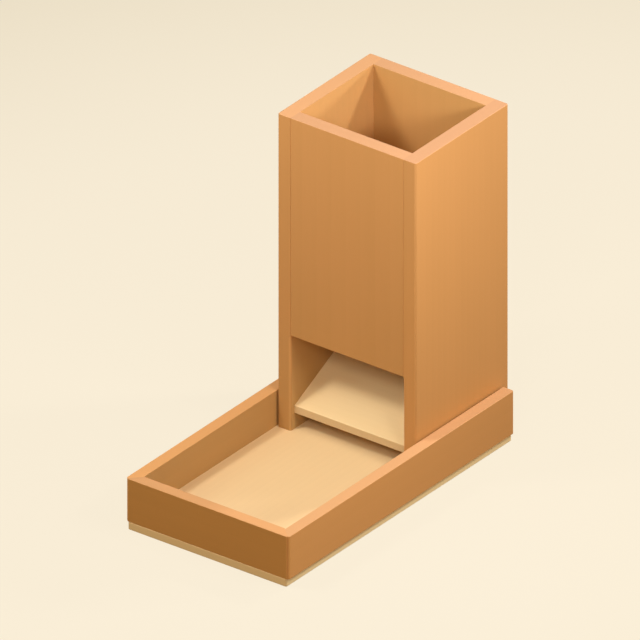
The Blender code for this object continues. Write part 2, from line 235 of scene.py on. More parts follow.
@dataclass(frozen=True)
class Wood:
    """A wood as a finish: its common name, how its surface was made, and its figure."""

    name: str
    slot: str
    figure: Figure

    # How far apart in the pattern two boards lie, in metres for each plank between them
    PLANK_STEP = Vector((0.37, 0.11, 0.053))
    CLOUD_DETAIL = 2.0
    FIBRE_DETAIL = 3.0
    NOISE_ROUGHNESS = 0.6
    # The rings run almost straight along a board
    RING_STRETCH = 0.06
    RING_DISTORTION = 1.4
    RING_DETAIL = 2.0
    # A wave texture of scale 1 repeats after this length
    WAVE_PERIOD = 2 * math.pi / 20
    ROUGHNESS_SPREAD = 0.06
    RELIEF_STRENGTH = 0.35
    IOR = 1.5
    # Open fibres scatter most of the gloss that a sealed surface of this IOR would have
    SHEEN = 0.18

    def variant(self, name: str, **changes: object) -> "Wood":
        """The wood of a board like this one, with its own name and these changes to its figure."""
        return replace(self, name=name, figure=replace(self.figure, **changes))

    def material(self, board: str, plank: int) -> bpy.types.Material:
        """Makes this wood's material for one board.

        Args:
            board: The board that it is for, which its name says.
            plank: Which plank the board was sawn from, so that no two boards have one figure.

        Returns:
            The material, with its figure along the board's own X.
        """
        figure = self.figure
        made = bpy.data.materials.new(f"{self.name}_{board}")
        tree = emptied_tree(made)
        on_board = add_node(tree, "ShaderNodeTexCoord").outputs["Object"]
        patterns = self.patterns(tree, on_board, plank)
        colour = self.colour(tree, on_board, patterns)
        fibres = patterns["fibres"]
        roughness = add_node(
            tree,
            "ShaderNodeMapRange",
            inputs={
                "Value": fibres,
                "To Min": figure.roughness - self.ROUGHNESS_SPREAD,
                "To Max": figure.roughness + self.ROUGHNESS_SPREAD,
            },
        ).outputs["Result"]
        relief = add_node(
            tree,
            "ShaderNodeBump",
            inputs={"Height": fibres, "Strength": self.RELIEF_STRENGTH, "Distance": figure.relief},
        ).outputs["Normal"]
        surface = add_node(
            tree,
            "ShaderNodeBsdfPrincipled",
            inputs={
                "Base Color": colour,
                "Roughness": roughness,
                "Metallic": 0.0,
                "IOR": self.IOR,
                "Specular IOR Level": self.SHEEN,
                "Normal": relief,
            },
        ).outputs["BSDF"]
        add_node(tree, "ShaderNodeOutputMaterial", inputs={"Surface": surface})
        return made

    def patterns(
        self, tree: bpy.types.NodeTree, on_board: bpy.types.NodeSocket, plank: int
    ) -> dict[str, bpy.types.NodeSocket]:
        """Draws the parts of the figure: the clouds, the fibres and the rings.

        Args:
            tree: The node tree that gets them.
            on_board: The place on the board, from its middle, with X along the fibres.
            plank: Which plank the board was sawn from.

        Returns:
            How light each part is, from 0 to 1, by its name.
        """
        figure = self.figure
        place = add_node(
            tree, "ShaderNodeVectorMath", {"operation": "ADD"}, {0: on_board, 1: self.PLANK_STEP * plank}
        ).outputs["Vector"]
        patterns = {}
        for name, length, width, detail in (
            ("clouds", figure.cloud_length, figure.cloud_width, self.CLOUD_DETAIL),
            ("fibres", figure.fibre_length, figure.fibre_width, self.FIBRE_DETAIL),
        ):
            drawn_out = add_node(
                tree,
                "ShaderNodeVectorMath",
                {"operation": "MULTIPLY"},
                {0: place, 1: (1 / length, 1 / width, 1 / width)},
            ).outputs["Vector"]
            patterns[name] = add_node(
                tree,
                "ShaderNodeTexNoise",
                inputs={
                    "Vector": drawn_out,
                    "Scale": 1.0,
                    "Detail": detail,
                    "Roughness": self.NOISE_ROUGHNESS,
                },
            ).outputs["Fac"]
        from_pith = add_node(
            tree,
            "ShaderNodeVectorMath",
            {"operation": "MULTIPLY_ADD"},
            {0: place, 1: (self.RING_STRETCH, 1, 1), 2: (0, 0, figure.pith_depth)},
        ).outputs["Vector"]
        patterns["rings"] = add_node(
            tree,
            "ShaderNodeTexWave",
            {"wave_type": "RINGS", "rings_direction": "X", "wave_profile": "SAW"},
            {
                "Vector": from_pith,
                "Scale": self.WAVE_PERIOD / figure.ring_spacing,
                "Distortion": self.RING_DISTORTION,
                "Detail": self.RING_DETAIL,
                "Detail Scale": figure.ring_spacing / figure.cloud_width,
            },
        ).outputs["Fac"]
        return patterns

    def colour(
        self,
        tree: bpy.types.NodeTree,
        on_board: bpy.types.NodeSocket,
        patterns: dict[str, bpy.types.NodeSocket],
    ) -> bpy.types.NodeSocket:
        """Mixes the wood's colour from its figure and lays the mesh's marks and the shade over it.

        Args:
            tree: The node tree that gets the nodes.
            on_board: The place on the board, from its middle, with X along the fibres.
            patterns: The parts of the figure.

        Returns:
            The colour of the surface.
        """
        figure = self.figure
        shares = (
            (patterns["clouds"], figure.cloud_share),
            (patterns["fibres"], figure.fibre_share),
            (patterns["rings"], figure.ring_share),
        )
        tone: bpy.types.NodeSocket | float = 0.5 - sum(share for _, share in shares) / 2
        for pattern, share in shares:
            tone = add_node(
                tree, "ShaderNodeMath", {"operation": "MULTIPLY_ADD"}, {0: pattern, 1: share, 2: tone}
            ).outputs["Value"]
        colours = []
        for dark, light in (
            (figure.dark_tone, figure.light_tone),
            (figure.wiped_dark_tone or figure.dark_tone, figure.wiped_light_tone or figure.light_tone),
        ):
            mixed = add_node(
                tree,
                "ShaderNodeMix",
                {"data_type": "RGBA"},
                {"Factor_Float": tone, "A_Color": linear(dark), "B_Color": linear(light)},
            )
            colours.append(socket(mixed.outputs, "Result_Color"))
        colour, wiped = colours

        # The marks lay painted light over the colour: the inner faces' tone, the rounded edges'
        # highlight and the saw-cut faces' light and shade.
        marked = {}
        for mark, most in ((WIPED, 1.0), (WORN, figure.worn_share), (SAWN, figure.sawn_share)):
            amount = add_node(tree, "ShaderNodeAttribute", {"attribute_name": mark}).outputs["Fac"]
            marked[mark] = add_node(
                tree, "ShaderNodeMath", {"operation": "MULTIPLY"}, {0: amount, 1: most}
            ).outputs["Value"]
        layers = [("MIX", marked[WIPED], wiped), ("MIX", marked[WORN], linear(figure.worn_tone))]
        # A painted shade along the board, deeper from one place towards another.
        if figure.shade is not None:
            along = add_node(tree, "ShaderNodeSeparateXYZ", inputs={"Vector": on_board}).outputs["X"]
            reach = {"Value": along, "From Min": figure.shade_gone, "From Max": figure.shade_full}
            shaded = add_node(tree, "ShaderNodeMapRange", inputs=reach).outputs["Result"]
            layers.append(("MULTIPLY", shaded, linear(figure.shade)))
        layers.append(("MIX", marked[SAWN], linear(figure.sawn_tone)))
        for blend, amount, other in layers:
            mixed = add_node(
                tree,
                "ShaderNodeMix",
                {"data_type": "RGBA", "blend_type": blend},
                {"Factor_Float": amount, "A_Color": colour, "B_Color": other},
            )
            colour = socket(mixed.outputs, "Result_Color")
        return colour


# Cherry, planed, sanded and oiled: an even orange brown with hardly any pores. The oil deepens the
# colour and leaves a soft satin sheen, brightest at a low angle. The inner faces have a paler, less
# red tone, which is painted shade. The oil is rubbed thin where the corners are round. The saw-cut
# faces, such as the rim, have a paler, less red tone of their own: partly end grain and partly
# painted highlight on the lit rim. Growth rings are some 3 mm apart. Pores and fibres of 0.05 mm
# are too fine to show, so they are drawn as streaks of 0.8 mm.
OILED_CHERRY = Wood(
    name="oiled_cherry",
    slot="brown_wood",
    figure=Figure(
        light_tone="#cd9155",
        dark_tone="#c78d51",
        worn_tone="#dd9e60",
        sawn_tone="#cb966e",
        ring_spacing=3.2 * MILLIMETRE,
        pith_depth=46 * MILLIMETRE,
        cloud_width=16 * MILLIMETRE,
        cloud_length=120 * MILLIMETRE,
        fibre_width=0.8 * MILLIMETRE,
        fibre_length=22 * MILLIMETRE,
        ring_share=0.25,
        cloud_share=0.9,
        fibre_share=0.5,
        worn_share=0.4,
        sawn_share=0.9,
        roughness=0.5,
        relief=0.02 * MILLIMETRE,
        wiped_light_tone="#cb985b",
        wiped_dark_tone="#c59457",
    ),
)

# The front panel's board deepens a little towards its lower edge above the exit: painted shade.
OILED_CHERRY_FRONT = OILED_CHERRY.variant(
    "oiled_cherry_front", shade="#f8fcfb", shade_full=-46 * MILLIMETRE, shade_gone=-8 * MILLIMETRE
)

# The left panel's board: painted shade makes it deeper and less red towards its foot, and its
# inner face and its rim are painted lighter.
OILED_CHERRY_HEART = OILED_CHERRY.variant(
    "oiled_cherry_heart",
    sawn_tone="#d69e70",
    wiped_light_tone="#d49e62",
    wiped_dark_tone="#ce995d",
    shade="#e9f9ff",
    shade_full=-67 * MILLIMETRE,
    shade_gone=-17 * MILLIMETRE,
)

# The right panel's board: its faces are a little lighter and deepen towards the rim, painted light
# and shade, and its rim has a deeper tone, painted shade.
OILED_CHERRY_RIGHT = OILED_CHERRY.variant(
    "oiled_cherry_right",
    light_tone="#cf9254",
    dark_tone="#c98e50",
    sawn_tone="#c6926c",
    shade="#f9fafe",
    shade_full=63 * MILLIMETRE,
    shade_gone=6 * MILLIMETRE,
)

# The back panel's board: its rim is a little lighter, painted light, and its inner face a little
# deeper, painted shade.
OILED_CHERRY_BACK = OILED_CHERRY.variant(
    "oiled_cherry_back",
    sawn_tone="#cf996f",
    wiped_light_tone="#c9965a",
    wiped_dark_tone="#c39256",
)

# The tray's cherry, oiled in the same way. The upper edges of its walls show long grain, not the
# end grain of the tower's rim, and are a shade lighter: painted light on the lit tops. Its rounded
# corners are much lighter, partly oil rubbed thin and partly painted highlight, and its inner faces
# have a tone of painted shade.
OILED_CHERRY_RAIL = OILED_CHERRY.variant(
    "oiled_cherry_rail",
    light_tone="#d29451",
    dark_tone="#cc904d",
    worn_tone="#edaa62",
    worn_share=0.8,
    sawn_tone="#d29d6e",
    wiped_light_tone="#c4965d",
    wiped_dark_tone="#be9259",
)

# The right wall's board: painted light and shade make it paler towards the front and deeper
# towards the rear.
OILED_CHERRY_RIGHT_RAIL = OILED_CHERRY_RAIL.variant(
    "oiled_cherry_right_rail",
    light_tone="#d79857",
    dark_tone="#d19453",
    shade="#f3f1f0",
    shade_full=68 * MILLIMETRE,
    shade_gone=-68 * MILLIMETRE,
)

# The front wall's board: a little more golden at its upper edge, painted light, and deeper on its
# face, painted shade.
OILED_CHERRY_FRONT_RAIL = OILED_CHERRY_RAIL.variant(
    "oiled_cherry_front_rail", light_tone="#d2924b", dark_tone="#cc8e48", sawn_tone="#d59c69"
)

# The left wall's board: its upper edge is the most golden and lightest one, painted light
# against the shadow that the tower casts on it.
OILED_CHERRY_LEFT_RAIL = OILED_CHERRY_RAIL.variant("oiled_cherry_left_rail", sawn_tone="#e4a467")

# Lime, planed and sanded but left bare: a pale, creamy and almost figureless wood, matt because
# nothing fills its fibres. These too are drawn coarser than the real ones of 0.05 mm. Its saw-cut
# ends, such as the ramp's front, are deeper: partly end grain and partly painted shade.
SANDED_LIME = Wood(
    name="sanded_lime",
    slot="pale_wood",
    figure=Figure(
        light_tone="#fcdaa2",
        dark_tone="#f8d69e",
        worn_tone="#f9dea8",
        sawn_tone="#d2b385",
        ring_spacing=2.6 * MILLIMETRE,
        pith_depth=60 * MILLIMETRE,
        cloud_width=20 * MILLIMETRE,
        cloud_length=140 * MILLIMETRE,
        fibre_width=0.7 * MILLIMETRE,
        fibre_length=14 * MILLIMETRE,
        ring_share=0.25,
        cloud_share=0.9,
        fibre_share=0.5,
        worn_share=0.3,
        sawn_share=0.9,
        roughness=0.62,
        relief=0.02 * MILLIMETRE,
    ),
)

# Lime again, oiled with the same oil as the cherry: a shade deeper and yellower than bare.
# Painted light and shade make it lighter towards the back and deepest at the front.
OILED_LIME = SANDED_LIME.variant(
    "oiled_lime",
    light_tone="#f7d39c",
    dark_tone="#f1cd98",
    worn_tone="#f3d1a2",
    sawn_tone="#efca98",
    pith_depth=55 * MILLIMETRE,
    roughness=0.58,
    relief=0.012 * MILLIMETRE,
    shade="#f4f3f7",
    shade_full=-45 * MILLIMETRE,
    shade_gone=15 * MILLIMETRE,
)

# The base plate's lime, oiled too: a lighter board, partly painted light against the shade under
# the walls' overhang, with deeper saw-cut ends, partly end grain and partly painted shade.
OILED_LIME_PLATE = OILED_LIME.variant(
    "oiled_lime_plate", light_tone="#fbdda6", dark_tone="#f5d7a0", sawn_tone="#facf8f", shade=None
)

# Beech dowel rod, turned and left raw: pinkish pale, with the short dark flecks of beech drawn
# as fine streaks along the rod.
TURNED_BEECH = Wood(
    name="turned_beech",
    slot="dowel_wood",
    figure=Figure(
        light_tone="#dcb283",
        dark_tone="#c29365",
        worn_tone="#e4c096",
        sawn_tone="#d2a878",
        ring_spacing=1.4 * MILLIMETRE,
        pith_depth=25 * MILLIMETRE,
        cloud_width=3 * MILLIMETRE,
        cloud_length=20 * MILLIMETRE,
        fibre_width=0.3 * MILLIMETRE,
        fibre_length=2.5 * MILLIMETRE,
        ring_share=0.4,
        cloud_share=0.6,
        fibre_share=0.9,
        worn_share=0.2,
        sawn_share=0.9,
        roughness=0.6,
        relief=0.02 * MILLIMETRE,
    ),
)

# The wood of each board, in the order of the planks that the boards were sawn from
STOCK: dict[str, Wood] = {
    "base_plate": OILED_LIME_PLATE,
    "floor_panel": OILED_LIME,
    "tray_front_wall": OILED_CHERRY_FRONT_RAIL,
    "tray_left_wall": OILED_CHERRY_LEFT_RAIL,
    "tray_right_wall": OILED_CHERRY_RIGHT_RAIL,
    "tower_left_panel": OILED_CHERRY_HEART,
    "tower_right_panel": OILED_CHERRY_RIGHT,
    "tower_front_panel": OILED_CHERRY_FRONT,
    "tower_back_panel": OILED_CHERRY_BACK,
    "exit_ramp": SANDED_LIME,
    "lower_baffle": SANDED_LIME,
    "upper_baffle": SANDED_LIME,
}


@dataclass(frozen=True)
class Corner:
    """A corner of a board's outline.

    The edge that runs on to the next corner is eased unless it is a joint, where the board
    meets another one flush. It may be a saw-cut edge, whose tone differs from the planed faces,
    partly end grain and partly painted light and shade, or the edge of an inner face, whose tone is
    painted for the light and shade inside.
    """

    x: float
    y: float
    radius: float = 0.0
    joint: bool = False
    sawn: bool = False
    wiped: bool = False


@dataclass(frozen=True)
class Level:
    """One outline of a board at a height, drawn in from its sides by an inset.

    The mark of its upright corners, partly oil rubbed thin and partly painted highlight, fades
    over the eased rim, so that it stays off the end faces.
    """

    height: float
    inset: float
    corners: tuple[Corner, ...]
    worn: float = 0.0
    sawn: float = 0.0
    corner_wear: float = 1.0


def wear(radius: float) -> float:
    """How strong the mark is in the middle of a rounded edge: the rounder, the more its oil is rubbed
    off and the stronger its painted highlight.
    """
    return min(1.0, radius / FULL_WEAR_RADIUS)


def outline(corners: tuple[Corner, ...], inset: float) -> list[tuple[float, ...]]:
    """Points of a closed outline, anticlockwise, with its round corners as arcs.

    Args:
        corners: The outline's corners, anticlockwise.
        inset: How far the eased edges are drawn in.

    Returns:
        For each point X, Y, how strong the rounded edges' mark of rubbed oil and painted highlight is
        there, how far the saw-cut tone with its painted light and shade reaches, and whether the face
        that runs on from it takes the inner faces' painted tone.
    """
    points = []
    for index, corner in enumerate(corners):
        before, after = corners[index - 1], corners[(index + 1) % len(corners)]
        here = Vector((corner.x, corner.y))
        coming = (here - Vector((before.x, before.y))).normalized()
        going = (Vector((after.x, after.y)) - here).normalized()
        inward_before, inward_after = (Vector((-d.y, d.x)) for d in (coming, going))
        drawn_before = 0 if before.joint else inset
        drawn_after = 0 if corner.joint else inset
        spread = inward_before.dot(inward_after)
        share = 1 - spread * spread
        here = here + inward_before * ((drawn_before - drawn_after * spread) / share)
        here = here + inward_after * ((drawn_after - drawn_before * spread) / share)
        radius = corner.radius - min(inset, corner.radius / 2)
        if corner.radius == 0:
            sawn = float(before.sawn or corner.sawn)
            points.append((here.x, here.y, 0.0, sawn, float(corner.wiped)))
            continue
        turn = coming.angle(going)
        reach = radius * math.tan(turn / 2)
        centre = here - coming * reach + inward_before * radius
        for step in range(ARC_STEPS + 1):
            swept = step / ARC_STEPS
            spoke = Matrix.Rotation(turn * swept, 2) @ (-inward_before * radius)
            worn = wear(corner.radius) * math.sin(math.pi * swept)
            sawn = before.sawn * (1 - swept) + corner.sawn * swept
            points.append((*(centre + spoke), worn, sawn, float(corner.wiped and swept == 1)))
    return points


def eased_levels(
    corners_at: list[tuple[float, tuple[Corner, ...]]], ease: float, sawn_ends: bool = False
) -> list[Level]:
    """The levels of a board whose rims at its lowest and highest height are eased.

    Args:
        corners_at: Heights from low to high, each with the outline that holds there.
        ease: Radius of the quarter round along both rims.
        sawn_ends: Whether the faces at the lowest and highest height are saw-cut,
            not planed, and take the saw-cut tone with its painted light and shade.

    Returns:
        The levels from low to high.
    """
    low, low_corners = corners_at[0]
    high, high_corners = corners_at[-1]
    quarter = [math.pi / 2 * step / EDGE_STEPS for step in range(EDGE_STEPS + 1)]
    rim = [
        (
            ease * (1 - math.sin(a)),
            ease * (1 - math.cos(a)),
            wear(ease) * math.sin(2 * a),
            sawn_ends * math.sin(a) ** 2,
            math.cos(a),
        )
        for a in quarter
    ]
    levels = [Level(low + up, inset, low_corners, *marks) for up, inset, *marks in reversed(rim)]
    levels += [Level(height, 0, corners) for height, corners in corners_at[1:-1]]
    levels += [Level(high - up, inset, high_corners, *marks) for up, inset, *marks in rim]
    return levels


def loft(levels: list[Level], turn: Matrix = Matrix.Identity(4)) -> bmesh.types.BMesh:
    """Builds a closed board from its levels.

    Args:
        levels: Outlines from low to high, all with the same corners.
        turn: Where the board's own X, Y and height lie in the row frame.

    Returns:
        The board's mesh, with how strong the rounded edges' mark of rubbed oil and painted highlight
        and the saw-cut tone with its painted light and shade are at each point, and which faces take
        the inner faces' painted tone.
    """
    mesh = bmesh.new()
    worn = mesh.verts.layers.float.new(WORN)
    sawn = mesh.verts.layers.float.new(SAWN)
    wiped = mesh.faces.layers.float.new(WIPED)
    rings = []
    for level in levels:
        ring, onward_wiped = [], []
        for x, y, corner_wear, corner_sawn, corner_wiped in outline(level.corners, level.inset):
            point = mesh.verts.new(turn @ Vector((x, y, level.height)))
            point[worn] = max(level.worn, corner_wear * level.corner_wear)
            point[sawn] = max(level.sawn, corner_sawn)
            ring.append(point)
            onward_wiped.append(corner_wiped)
        rings.append(ring)
    for lower, upper in zip(rings, rings[1:]):
        for index, point in enumerate(lower):
            onward = (index + 1) % len(lower)
            face = mesh.faces.new((point, lower[onward], upper[onward], upper[index]))
            face[wiped] = onward_wiped[index]
    mesh.faces.new(reversed(rings[0]))
    mesh.faces.new(rings[-1])
    bmesh.ops.recalc_face_normals(mesh, faces=mesh.faces)
    return mesh


def saw_off(mesh: bmesh.types.BMesh, point: Vector, normal: Vector) -> None:
    """Cuts away what lies on the normal's side of a plane and closes the cut.

    Args:
        mesh: The board's mesh, which is changed.
        point: A point of the plane.
        normal: The plane's normal, towards the waste.
    """
    everything = mesh.verts[:] + mesh.edges[:] + mesh.faces[:]
    cut = bmesh.ops.bisect_plane(
        mesh, geom=everything, dist=CUT_TOLERANCE, plane_co=point, plane_no=normal, clear_outer=True
    )
    rim = [part for part in cut["geom_cut"] if isinstance(part, bmesh.types.BMEdge)]
    bmesh.ops.edgeloop_fill(mesh, edges=rim)
    bmesh.ops.recalc_face_normals(mesh, faces=mesh.faces)


def drill(mesh: bmesh.types.BMesh, start: Vector, end: Vector, radius: float) -> None:
    """Adds the cylinder of a drilled hole to a cutter.

    Args:
        mesh: The cutter's mesh, which is changed.
        start: The middle of one end of the hole.
        end: The middle of its other end.
        radius: The hole's radius.
    """
    along = (end - start).to_track_quat("Z", "Y").to_matrix().to_4x4()
    bmesh.ops.create_cone(
        mesh,
        cap_ends=True,
        segments=HOLE_SIDES,
        radius1=radius,
        radius2=radius,
        depth=(end - start).length,
        matrix=Matrix.Translation((start + end) / 2) @ along,
    )


def dowels(kind: str = "") -> list[str]:
    """The nodes of the dowels whose names start like this, or of all dowels."""
    return sorted(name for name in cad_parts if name.startswith(kind) and "dowel" in name)


def mesh_data(
    name: str, mesh: bmesh.types.BMesh, bench: Matrix = Matrix.Identity(4)
) -> bpy.types.Mesh:
    """Turns a finished mesh into Blender's mesh data and frees it.

    Args:
        name: Name of the data.
        mesh: The mesh in the row frame.
        bench: The frame that the data is written in.

    Returns:
        The data.
    """
    mesh.transform(bench.inverted())
    data = bpy.data.meshes.new(name)
    mesh.to_mesh(data)
    mesh.free()
    return data


def add_object(name: str, data: bpy.types.ID) -> bpy.types.Object:
    """Adds an object to the scene.

    Args:
        name: Name of the object.
        data: Its mesh, lamp or camera.

    Returns:
        The object, at the origin.
    """
    made = bpy.data.objects.new(name, data)
    bpy.context.scene.collection.objects.link(made)
    return made


@dataclass
class Board:
    """One board of the object: its mesh in the row frame, and what it stands for."""

    node: str
    body: str
    grain: Grain
    mesh: bmesh.types.BMesh
    cutter: bmesh.types.BMesh | None = None

    @property
    def wood(self) -> Wood:
        """The wood that the board is made of."""
        return STOCK[self.node]

    def make(self) -> None:
        """Turns the mesh into the finished, dressed object that rides on its body.

        The object has its origin at the board's middle and its X along the grain.
        """
        low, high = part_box(self.node)
        bench = self.grain.bench((low + high) / 2)
        name = f"{self.node}_board"
        board = add_object(name, mesh_data(name, self.mesh, bench))
        board.matrix_world = bench
        if self.cutter is not None:
            self.carve(board, bench)
        board.data.materials.clear()
        plank = list(STOCK).index(self.node) + 1
        board.data.materials.append(self.wood.material(self.node, plank))
        board.data.shade_smooth()
        board.data.set_sharp_from_angle(angle=SHARP_ANGLE)
        flat = board.modifiers.new("Flat faces stay flat", "WEIGHTED_NORMAL")
        flat.weight = FLAT_FACE_WEIGHT
        flat.keep_sharp = True
        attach(board, self.body)
        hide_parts(self.node)
        log.info("%s: %d faces of %s", board.name, len(board.data.polygons), self.wood.name)

    def carve(self, board: bpy.types.Object, bench: Matrix) -> None:
        """Cuts the board's grooves and holes and keeps the result as its mesh.

        Args:
            board: The object that is cut.
            bench: The frame that the object and its cutter share.
        """
        name = f"{self.node}_cutter"
        cutter = add_object(name, mesh_data(name, self.cutter, bench))
        cutter.matrix_world = bench
        cut = board.modifiers.new("Grooves and holes", "BOOLEAN")
        cut.operation = "DIFFERENCE"
        cut.solver = "EXACT"
        cut.object = cutter
        graph = bpy.context.evaluated_depsgraph_get()
        carved = bpy.data.meshes.new_from_object(board.evaluated_get(graph))
        board.modifiers.remove(cut)
        board.data = carved
        bpy.data.objects.remove(cutter)


@dataclass
class Tray:
    """The open tray: a base plate, a floor let in between three walls, and no rear wall.

    The walls are mitred at the front corners. No joint of the tray shows as a gap.
    """

    corner_radius: float = 0.9 * MILLIMETRE
    wall_ease: float = 0.22 * MILLIMETRE
    plate_ease: float = 0.3 * MILLIMETRE
    floor_ease: float = 0.05 * MILLIMETRE
    dowel_clearance: float = 0.15 * MILLIMETRE
    base_low: Vector = field(init=False)
    base_high: Vector = field(init=False)
    front_low: Vector = field(init=False)
    front_high: Vector = field(init=False)
    boards: list[Board] = field(default_factory=list)

    def build(self) -> None:
        """Makes the tray's five boards from the boxes of their nodes."""
        self.base_low, self.base_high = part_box("base_plate")
        self.front_low, self.front_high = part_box("tray_front_wall")
        self.boards = [self.base_plate(), self.floor_panel(), self.front_wall()]
        self.boards += [self.side_wall(side) for side in Side]

    def dress(self) -> None:
        """Turns every board into its finished object."""
        for board in self.boards:
            board.make()

    def base_plate(self) -> Board:
        """The plate under everything, a little narrower than the walls.

        Returns:
            The base plate.
        """
        low, high, radius = self.base_low, self.base_high, self.corner_radius
        corners = (
            Corner(low.x, low.y, radius, sawn=True),
            Corner(high.x, low.y, radius),
            Corner(high.x, high.y, radius, sawn=True),
            Corner(low.x, high.y, radius),
        )
        mesh = loft(eased_levels([(low.z, corners), (high.z, corners)], self.plate_ease))
        return Board("base_plate", "tray", Grain.ALONG_Y, mesh)

    def floor_panel(self) -> Board:
        """The floor between the walls, with its holes for the tower's locating dowels.

        Returns:
            The floor panel.
        """
        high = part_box("floor_panel")[1]
        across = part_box("tray_right_wall")[0].x - HAIRLINE
        front = self.front_high.y + HAIRLINE
        corners = (
            Corner(-across, front, joint=True),
            Corner(across, front, joint=True),
            Corner(across, high.y),
            Corner(-across, high.y, joint=True),
        )
        foot = self.base_high.z + HAIRLINE
        mesh = loft(eased_levels([(foot, corners), (high.z, corners)], self.floor_ease))
        holes = bmesh.new()
        for name in dowels("locating"):
            dowel_low, dowel_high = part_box(name)
            middle = (dowel_low + dowel_high) / 2
            radius = (dowel_high.x - dowel_low.x) / 2 + self.dowel_clearance
            below, above = (Vector((middle.x, middle.y, z)) for z in (self.base_low.z, dowel_high.z))
            drill(holes, below, above, radius)
        return Board("floor_panel", "tray", Grain.ALONG_Y, mesh, holes)

    def mitre(self, side: Side) -> tuple[Vector, Vector]:
        """A point and the normal, towards the side wall, of a front corner's mitre."""
        corner = Vector((side.value * self.front_high.x, self.front_low.y, 0))
        return corner, Vector((side.value, 1, 0)).normalized()

    def wall_levels(self, corners: tuple[Corner, ...]) -> list[Level]:
        """The levels of a wall with this outline, from the base plate to the rim."""
        foot, rim = self.base_high.z + HAIRLINE, self.front_high.z
        return eased_levels([(foot, corners), (rim, corners)], self.wall_ease, sawn_ends=True)

    def front_wall(self) -> Board:
        """The front wall, mitred at both ends.

        Returns:
            The wall.
        """
        low, high, radius = self.front_low, self.front_high, self.corner_radius
        corners = (
            Corner(low.x, low.y, radius),
            Corner(high.x, low.y, radius),
            Corner(high.x, high.y, wiped=True),
            Corner(low.x, high.y),
        )
        mesh = loft(self.wall_levels(corners))
        for side in Side:
            corner, towards_side = self.mitre(side)
            saw_off(mesh, corner - towards_side * HAIRLINE / 2, towards_side)
        return Board("tray_front_wall", "tray", Grain.ALONG_X, mesh)

    def side_wall(self, side: Side) -> Board:
        """A side wall, mitred at the front and square at the rear.

        Args:
            side: The side that it stands on.

        Returns:
            The wall.
        """
        name = f"tray_{side.name.lower()}_wall"
        low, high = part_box(name)
        left, right = (self.corner_radius, 0.0) if side is Side.LEFT else (0.0, self.corner_radius)
        eased = self.wall_ease * 2
        corners = (
            Corner(low.x, low.y, left),
            Corner(high.x, low.y, right, wiped=side is Side.LEFT),
            Corner(high.x, high.y, right or eased),
            Corner(low.x, high.y, left or eased, wiped=side is Side.RIGHT),
        )
        mesh = loft(self.wall_levels(corners))
        corner, towards_side = self.mitre(side)
        saw_off(mesh, corner + towards_side * HAIRLINE / 2, -towards_side)
        return Board(name, "tray", Grain.ALONG_Y, mesh)


